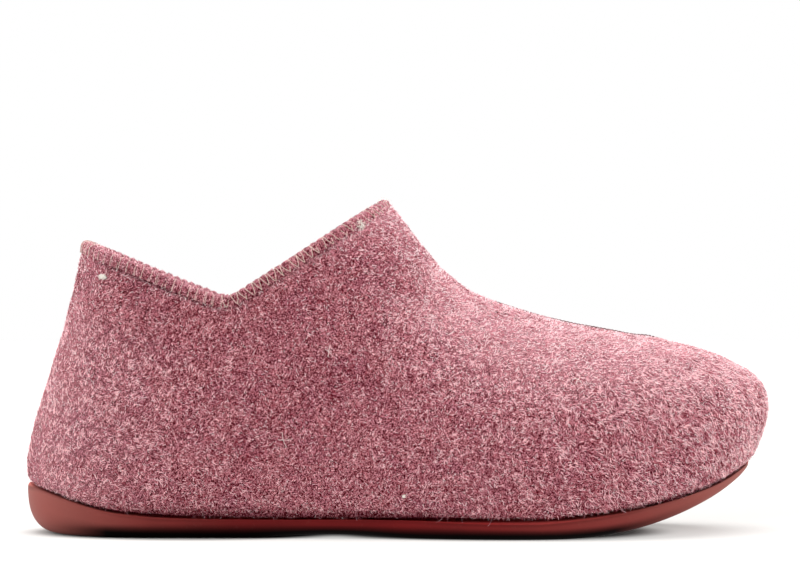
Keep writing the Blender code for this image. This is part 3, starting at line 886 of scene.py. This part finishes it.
def down_weight(places, normals):
    """As the nap, but thicker on top and round the heel and the toe."""
    facings = (normals[:, 2], normals[:, 0], -normals[:, 0])
    on_top, at_toe, at_heel = (np.clip(facing, 0, 1) ** 2 for facing in facings)
    thick = DOWN_LEAST + DOWN_TOP * on_top + DOWN_TOE * at_toe + DOWN_HEEL * at_heel
    return nap_weight(places, normals) * thick


def drift(places, size, shift=0.0):
    """Smooth random numbers, mostly between -0.5 and 0.5, that change over a size in millimetres."""
    start = Vector((shift, shift, shift))
    return np.array([noise.noise(Vector(place) / (size * MM) + start) for place in places])


def turned(ways, normals, degrees):
    """Ways on the felt turned aside by some degrees each."""
    angle = np.radians(degrees)[:, None]
    return ways * np.cos(angle) + np.cross(normals, ways) * np.sin(angle)


def combed(places, normals):
    """The way each lock lies on the felt."""
    along = along_of(places)
    forward = np.stack([np.ones(len(places)), np.zeros(len(places)), read(NAP, "rise", along)], axis=1)
    forward = unit(forward - (forward * normals).sum(axis=1, keepdims=True) * normals)
    swirl = read(NAP, "swirl", along) * SWIRL_GAIN * drift(places, SWIRL_SIZE, SWIRL_SHIFT)
    return turned(forward, normals, swirl + read(NAP, "spread", along) * dice.standard_normal(len(places)))


def darkness(places, normals):
    """How dark the nap is at each place: in patches, where worn, and as painted shade and light."""
    found = PATCH_SWING * drift(places, TONE_PATCH)
    # painted light: paler where it faces up and at the heel and toe ends
    found -= TOP_PALER * np.clip(normals[:, 2], 0, 1) + END_PALER * np.abs(normals[:, 0])
    along, height = along_of(places), places[:, 2] / MM
    # painted shade in the needle line's groove
    groove = hump(below_collar(places), NEEDLE_LINE + GROOVE_BELOW, GROOVE_HALF)
    found += GROOVE_DARKER * (groove * (along < COLLAR_DIP[0]))
    # painted shade at the felt's foot, over the sole
    unlifted = places - np.outer(read(EDGE_RISE, "felt", along), (0, 0, FOOT_FOLLOWS * MM))
    over_sole = np.array([distance(sole_surface, place, FOOT_DARK_HEIGHT) for place in unlifted])
    waist = np.interp(along, *zip(*FOOT_DARK_PLACES))
    found += FOOT_DARKER * waist * (1 - over_sole / FOOT_DARK_HEIGHT)
    # worn places, and places of painted shade and painted light
    for wear_and_shade in WEAR_AND_SHADE:
        found += wear_and_shade.darker * oval(wear_and_shade, along, height)
    return found


def toned(dark, among):
    """A tone for each fibre by its darkness, so that each tone has its share of the fibres it is among."""
    rank = np.searchsorted(np.sort(among), dark) / len(among)
    return np.searchsorted(np.cumsum([tone.share for tone in TONES])[:DOWN - 1], rank)


def fibres(name, places, normals, ways, length, tones, stand=1.0):
    """Adds one piece of thin fibres, each rooted in the felt and standing off it towards its tip."""
    count, stations = len(places), np.array((0.0, 0.5, 1.0))
    across = np.cross(normals, ways)
    curl = dice.normal(0, FIBRE_CURL, count)[:, None] * stations**2
    low, high, half = np.array([(tone.low, tone.high, tone.half) for tone in TONES])[tones].T
    lifted = (dice.uniform(low, high) * stand)[:, None] * np.sqrt(stations) - ROOT_DEPTH
    paths = (
        places[:, None]
        + ways[:, None] * (stations * length[:, None] * MM)[..., None]
        + across[:, None] * (curl * length[:, None] * MM)[..., None]
        + normals[:, None] * (lifted * MM)[..., None]
    )
    ahead = unit(np.gradient(paths, axis=1))
    side = unit(np.cross(ahead, normals[:, None]))
    roll = dice.normal(0, FIBRE_ROLL, count)[:, None, None]
    side = side * np.cos(roll) + np.cross(ahead, side) * np.sin(roll)
    breadth = (half * dice.uniform(0.7, 1.3, count))[:, None] * np.array(FIBRE_TAPER) * MM
    corners = np.stack([paths - side * breadth[..., None], paths + side * breadth[..., None]], axis=2)
    grid = np.arange(count * 6).reshape(count, 3, 2)
    piece = mesh_piece(name, corners.reshape(-1, 3), quads(grid[..., 0], grid[..., 1]))
    for finish in wool_tones:
        piece.data.materials.append(finish)
    piece.data.polygons.foreach_set("material_index", np.repeat(tones, 2))
    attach(piece, "root")


def wool_finish(tone):
    """Soft wool of one tone."""
    finish = Finish(
        tone.name,
        tone.colour,
        0.9,
        Sheen_Weight=tone.sheen,
        Sheen_Tint=SHEEN_TINT,
        Sheen_Roughness=0.4,
        Specular_IOR_Level=0.0,
    )
    return finish.material


wool_tones = [wool_finish(tone) for tone in TONES]
seam_tree = kdtree.KDTree(len(seam_line))
for number, point in enumerate(seam_line):
    seam_tree.insert(point[:3], number)
seam_tree.balance()


def from_seam(places):
    """How far places lie from the instep seam, in millimetres."""
    return np.array([seam_tree.find(place)[2] / MM for place in places])


lock_roots, lock_normals = scattered(upper.data, LOCKS, nap_weight)
clear = from_seam(lock_roots) > SEAM_CLEAR
lock_roots, lock_normals = lock_roots[clear], lock_normals[clear]
lock_ways = combed(lock_roots, lock_normals)
lock_streak = read(NAP, "streak", along_of(lock_roots)) * dice.standard_normal(len(lock_roots))
lock_dark = darkness(lock_roots, lock_normals) + lock_streak
owner = np.repeat(np.arange(len(lock_roots)), LOCK_FIBRES)
nap_normals = lock_normals[owner]
aside = LOCK_BREADTH * dice.standard_normal(len(owner))
behind = read(NAP, "run", along_of(lock_roots))[owner] * dice.standard_normal(len(owner))
nap_ways = turned(lock_ways[owner], nap_normals, LOCK_FRAY * dice.standard_normal(len(owner)))
roots = (
    lock_roots[owner]
    + np.cross(nap_normals, nap_ways) * aside[:, None] * MM
    + nap_ways * behind[:, None] * MM
)
nap_dark = lock_dark[owner] + FIBRE_SWING * dice.standard_normal(len(owner))
nap_tones = toned(nap_dark, nap_dark)
nap_length = read(NAP, "length", along_of(roots)) * dice.uniform(0.6, 1.4, len(roots))
by_collar = (below_collar(roots) - NEEDLE_LINE + LOW_BY_COLLAR[0]) / LOW_BY_COLLAR[1]
nap_stand = np.clip(np.minimum(from_seam(roots) / LOW_BY_SEAM, by_collar), LEAST_STAND, 1.0)
for region, start, end in REGIONS:
    here = (along_of(roots) >= start) & (along_of(roots) < end)
    fibres(
        "nap_" + region,
        roots[here],
        nap_normals[here],
        nap_ways[here],
        nap_length[here],
        nap_tones[here],
        nap_stand[here],
    )

down_roots, down_normals = scattered(upper.data, DOWN_FIBRES, down_weight)
clear = from_seam(down_roots) > DOWN_CLEAR
down_roots, down_normals = down_roots[clear], down_normals[clear]
down_ways = combed(down_roots, down_normals)
down_ways = turned(down_ways, down_normals, DOWN_FRAY * dice.standard_normal(len(down_roots)))
down_length = dice.uniform(0.6, 1.4, len(down_roots))
fibres("down", down_roots, down_normals, down_ways, down_length, np.full(len(down_roots), DOWN))

edge_roots, edge_normals = scattered(
    collar_edge.data, EDGE_FIBRES, lambda places, normals: np.ones(len(places))
)
edge_ways = unit(np.cross(edge_normals, unit(dice.normal(size=(EDGE_FIBRES, 3)))))
edge_front = ahead_of_dip(edge_roots)
edge_front -= 2 * np.clip(edge_normals[:, 0], 0, 1) ** 2  # the peak's end is as pale as the instep below
edge_dark = dice.standard_normal(EDGE_FIBRES) + FRONT_DARKER * edge_front
edge_tones = toned(edge_dark, edge_dark)
edge_length = dice.uniform(0.4, 1.1, EDGE_FIBRES)
fibres("nap_collar", edge_roots, edge_normals, edge_ways, edge_length, edge_tones, EDGE_STAND)


# The felt's lower edge is left raw: short fibres hang over the rubber, and a few long hairs stray down it.
# The raw edge is cut from the same wool.
FRINGE_FIBRES, STRAY_HAIRS = 5000, 12
FRINGE_FACING, FRINGE_TOP = -0.38, 0.045  # faces that look down so much, below this height in metres
FRINGE_OUT, FRINGE_FALL, FRINGE_LOOSE = 0.45, 0.8, 0.35  # how far fibres stand out, hang and stray
FRINGE_TILT = 0.2  # how far the way they stand off is tilted up
HAIR_POINTS, HAIR_RADIUS, HAIR_BOW = 9, 0.035, 1.4
HAIR_OFF = (0.4, 0.9)  # how far hairs lie off the felt's edge at their ends, and more in the middle
HAIR_LOWEST = 0.3  # over the floor


def fringe_weight(places, normals):
    """Only the rounded corner between the felt's outer face and its cut foot."""
    return faces_out(places, normals) * (normals[:, 2] < FRINGE_FACING) * (places[:, 2] < FRINGE_TOP)


fringe_roots, fringe_normals = scattered(upper.data, FRINGE_FIBRES, fringe_weight)
outward, _ = from_spine(fringe_roots)
hanging = outward * FRINGE_OUT + np.array((0, 0, -FRINGE_FALL))
hanging = hanging + FRINGE_LOOSE * dice.normal(size=(FRINGE_FIBRES, 3))
fringe_normals = unit(outward + np.array((0, 0, FRINGE_TILT)))
hanging = unit(hanging - (hanging * fringe_normals).sum(axis=1, keepdims=True) * fringe_normals)
fringe_dark = darkness(fringe_roots, outward) + FIBRE_SWING * dice.standard_normal(FRINGE_FIBRES)
fringe_tones = toned(fringe_dark, nap_dark)
fringe_length = dice.uniform(0.3, 1.0, FRINGE_FIBRES)
fibres("fringe", fringe_roots, fringe_normals, hanging, fringe_length, fringe_tones)

hair_share = np.linspace(0, 1, HAIR_POINTS)
hair_roots = dice.choice(FRINGE_FIBRES, STRAY_HAIRS, replace=False)
hair_length = dice.uniform(2.0, 4.5, STRAY_HAIRS)
hair_bow = dice.normal(0, HAIR_BOW, STRAY_HAIRS)
hair_along = np.cross(outward[hair_roots], (0, 0, 1))
hair_off = HAIR_OFF[0] + HAIR_OFF[1] * np.sin(math.pi * hair_share)
hair_paths = (
    fringe_roots[hair_roots][:, None]
    + outward[hair_roots][:, None] * (hair_off * MM)[:, None]
    + hair_along[:, None] * (hair_bow[:, None] * hair_share**2 * MM)[..., None]
    - np.array((0, 0, 1)) * (hair_length[:, None] * hair_share * MM)[..., None]
)
hair_paths[..., 2] = np.maximum(hair_paths[..., 2], HAIR_LOWEST * MM)
hair_normals = np.repeat(outward[hair_roots][:, None], HAIR_POINTS, axis=1)
stray_hairs = threads("stray_hairs", hair_paths, hair_normals, HAIR_RADIUS * MM, 4)
stray_hairs.data.materials.append(wool_tones[1])
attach(stray_hairs, "root")


# Lint and loose thread ends: specks of white fluff caught in the nap, a few long pale hairs lying on it,
# and a tuft of cream ends at the collar's peak, where the overlocking was started and cut off.

# hairs: how many it is made of; reach: length of one, in mm
Lint = namedtuple("Lint", "along height length breadth hairs reach")
LINT = (
    Lint(28.4, 86.7, 2.6, 1.2, 120, 1.2),
    Lint(128.8, 14.4, 0.9, 0.8, 24, 0.8),
    Lint(114.2, 104.2, 3.2, 4.0, 34, 2.2),
    Lint(89.5, 33.0, 0.4, 0.4, 2, 4.5),
    Lint(104.0, 62.0, 0.4, 0.4, 2, 4.0),
    Lint(186.0, 52.0, 0.4, 0.4, 2, 4.0),
)
LINT_RADIUS, LINT_POINTS = 0.06, 7
LINT_SPREAD = 0.25  # how far its hairs lie from the middle, as a share of its size
LINT_BOW, LINT_OFF = 0.35, 0.2  # how strongly hairs bow aside, and how far their ends lie off the felt
PEAK_ENDS, PEAK_REACH = 60, 12.0  # thread ends at the peak, and how far back they lie
PEAK_OFF, PEAK_LOOSE = 0.5, 0.5  # how far they lie off the edge, and how strongly they stray


def loose_hairs(middles, normals, ways, lengths, lift):
    """Rows of points for hairs that bow over the felt; lift is the height of the bow, in millimetres."""
    share = np.linspace(-0.5, 0.5, LINT_POINTS)[None, :, None]
    across = np.cross(normals, ways)
    bow = dice.normal(0, LINT_BOW, (len(middles), 1, 1)) * (0.25 - share**2)
    return middles[:, None] + (
        ways[:, None] * share * lengths[:, None, None]
        + across[:, None] * bow * lengths[:, None, None]
        + normals[:, None] * (LINT_OFF + lift[:, None, None] * (1 - 4 * share**2))
    ) * MM


lint_paths, lint_normals = [], []
for lint in LINT:
    place, normal = hit(felt_surface, (lint.along, BESIDE, lint.height), (0, 1, 0))
    forward = unit(np.cross((0, 0, 1), normal))
    upward = np.cross(normal, forward)
    spots = dice.normal(0, LINT_SPREAD, (lint.hairs, 2)) * (lint.length, lint.breadth)
    turns = dice.uniform(0, 2 * math.pi, lint.hairs)[:, None]
    middles = place + (spots[:, :1] * forward + spots[:, 1:] * upward) * MM
    facing = np.tile(normal, (lint.hairs, 1))
    ways = np.cos(turns) * forward + np.sin(turns) * upward
    lengths = lint.reach * dice.uniform(0.6, 1.2, lint.hairs)
    lint_paths.append(loose_hairs(middles, facing, ways, lengths, dice.uniform(0.1, 0.7, lint.hairs)))
    lint_normals.append(np.repeat(facing[:, None], LINT_POINTS, axis=1))
front_rings = np.flatnonzero(along_of(crown_place) > along_of(crown_place).max() - PEAK_REACH)
rings = dice.choice(front_rings, PEAK_ENDS)
middles = on_edge(rings, dice.uniform(0.25, 0.75, PEAK_ENDS), np.full(PEAK_ENDS, PEAK_OFF))
ways = unit(crown_ahead[rings] + PEAK_LOOSE * dice.normal(size=(PEAK_ENDS, 3)))
facing = unit(crown_up[rings] - (crown_up[rings] * ways).sum(axis=1, keepdims=True) * ways)
lengths = dice.uniform(1.0, 3.2, PEAK_ENDS)
lint_paths.append(loose_hairs(middles, facing, ways, lengths, dice.uniform(0.0, 0.8, PEAK_ENDS)))
lint_normals.append(np.repeat(facing[:, None], LINT_POINTS, axis=1))
lint_hairs = threads("lint", np.concatenate(lint_paths), np.concatenate(lint_normals), LINT_RADIUS * MM, 4)
lint_hairs.data.materials.append(Finish("white_lint", (0.92, 0.86, 0.80), 0.9, Sheen_Weight=0.3).material)
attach(lint_hairs, "root")


# The floor, the studio light and the camera: a plain pale floor in a white light tent.
# The tent is open towards the camera and away from it, and one soft lamp shines from above.
FLOOR_HALF = 8.0
TENT_OPEN, TENT_CLOSED = 0.9, -0.1  # how far a way leans along Y where the tent is darkest and brightest
OPEN_LIGHT, TENT_LIGHT = 0.34, 1.60
SIDE_LIGHT, SIDE_FROM = 2.3, 0.5  # added by bright walls at heel and toe end, from this lean along X on
FLOOR_GLOW, DIM_GLOW = 0.56, 0.26  # the floor glows of itself, as painted light, and less behind the boot, as painted shadow
DIM_MIDDLE, DIM_REACH = (0.02, 0.13, 0), (0.26, 0.17, 1)
# Middle and reach of the ovals under the heel and under the ball and toe, where no glow comes up: painted
# contact shadows
UNDER_BOOT = (
    ((-0.07, 0, 0), (0.063, 0.049, 1)),
    ((0.03, 0, 0), (0.068, 0.05, 1)),
)
UNDER_FADE = (0.72, 0.98)
SPOT_FADE = (0.5, 1.0)
FLOOR_COLOUR, GLOW_COLOUR, WHITE = (0.36, 0.355, 0.345), (1.0, 0.99, 0.97, 1), (1, 1, 1, 1)
LAMP_POWER, LAMP_SPREAD, LAMP_TILT = 2.9, 60, (-15, 5)  # spread and tilt in degrees
floor_corners = [(x * FLOOR_HALF, y * FLOOR_HALF, 0) for x, y in ((-1, -1), (1, -1), (1, 1), (-1, 1))]
floor = mesh_piece("floor", floor_corners, [(0, 1, 2, 3)])
pale_floor = Finish("pale_floor", FLOOR_COLOUR, 0.9, Specular_IOR_Level=0.0, Emission_Color=GLOW_COLOUR)


def floor_spot(middle, reach, fade, values):
    """A value for the floor that changes over an oval spot, from its middle out."""
    spot = pale_floor.node("ShaderNodeMapping", {"vector_type": "TEXTURE"}, Vector=pale_floor.place())
    spot.inputs["Location"].default_value = middle
    spot.inputs["Scale"].default_value = reach
    away = pale_floor.node("ShaderNodeVectorMath", {"operation": "LENGTH"}, Vector=spot.outputs["Vector"])
    made = pale_floor.node(
        "ShaderNodeMapRange",
        {"interpolation_type": "SMOOTHSTEP"},
        Value=away.outputs["Value"],
        From_Min=fade[0],
        From_Max=fade[1],
        To_Min=values[0],
        To_Max=values[1],
    )
    return made.outputs["Result"]


glow = floor_spot(DIM_MIDDLE, DIM_REACH, SPOT_FADE, (DIM_GLOW, FLOOR_GLOW))
for middle, reach in UNDER_BOOT:
    glow = pale_floor.joined("MULTIPLY", glow, floor_spot(middle, reach, UNDER_FADE, (0.0, 1.0)))
pale_floor.feed(pale_floor.shader.inputs["Emission Strength"], glow)
floor.data.materials.append(pale_floor.material)

world = bpy.data.worlds.new("white_studio")
bpy.context.scene.world = world
world.use_nodes = True
studio = Nodes(world.node_tree)
way = studio.node("ShaderNodeTexCoord").outputs["Generated"]
across, sideways = (studio.joined("ABSOLUTE", studio.part(way, axis)) for axis in ("Y", "X"))
open_light = studio.spread(across, TENT_OPEN, TENT_CLOSED, TENT_LIGHT, OPEN_LIGHT)
side_light = studio.spread(sideways, SIDE_FROM, 1.0, SIDE_LIGHT)
tent = studio.tree.nodes["Background"]
tent.inputs["Color"].default_value = WHITE
studio.feed(tent.inputs["Strength"], studio.joined("ADD", open_light, side_light))
backdrop = studio.node("ShaderNodeBackground", Color=WHITE)
seen = studio.node("ShaderNodeLightPath").outputs["Is Camera Ray"]
either = studio.node("ShaderNodeMixShader", Fac=seen)
studio.feed(either.inputs[1], tent.outputs["Background"])
studio.feed(either.inputs[2], backdrop.outputs["Background"])
studio.feed(studio.tree.nodes["World Output"].inputs["Surface"], either.outputs["Shader"])

key = bpy.data.lights.new("overhead", "SUN")
key.energy = LAMP_POWER
key.angle = math.radians(LAMP_SPREAD)
key_lamp = bpy.data.objects.new("overhead", key)
key_lamp.rotation_euler = (math.radians(LAMP_TILT[0]), math.radians(LAMP_TILT[1]), 0)
bpy.context.scene.collection.objects.link(key_lamp)

EYE = (0.0, -1.0, 0.073)
FOCAL_PIXELS = 2918
FRAME_WIDTH, FRAME_HEIGHT = 800, 566
HORIZON = 318
SENSOR = 36.0
camera = bpy.data.cameras.new("camera")
camera.sensor_width = SENSOR
camera.lens = FOCAL_PIXELS / FRAME_WIDTH * SENSOR
camera.shift_y = (HORIZON - FRAME_HEIGHT / 2) / FRAME_WIDTH
camera_stand = bpy.data.objects.new("camera", camera)
camera_stand.location = EYE
camera_stand.rotation_euler = (math.pi / 2, 0, 0)
bpy.context.scene.collection.objects.link(camera_stand)
bpy.context.scene.camera = camera_stand
bpy.context.scene.view_settings.view_transform = "Standard"
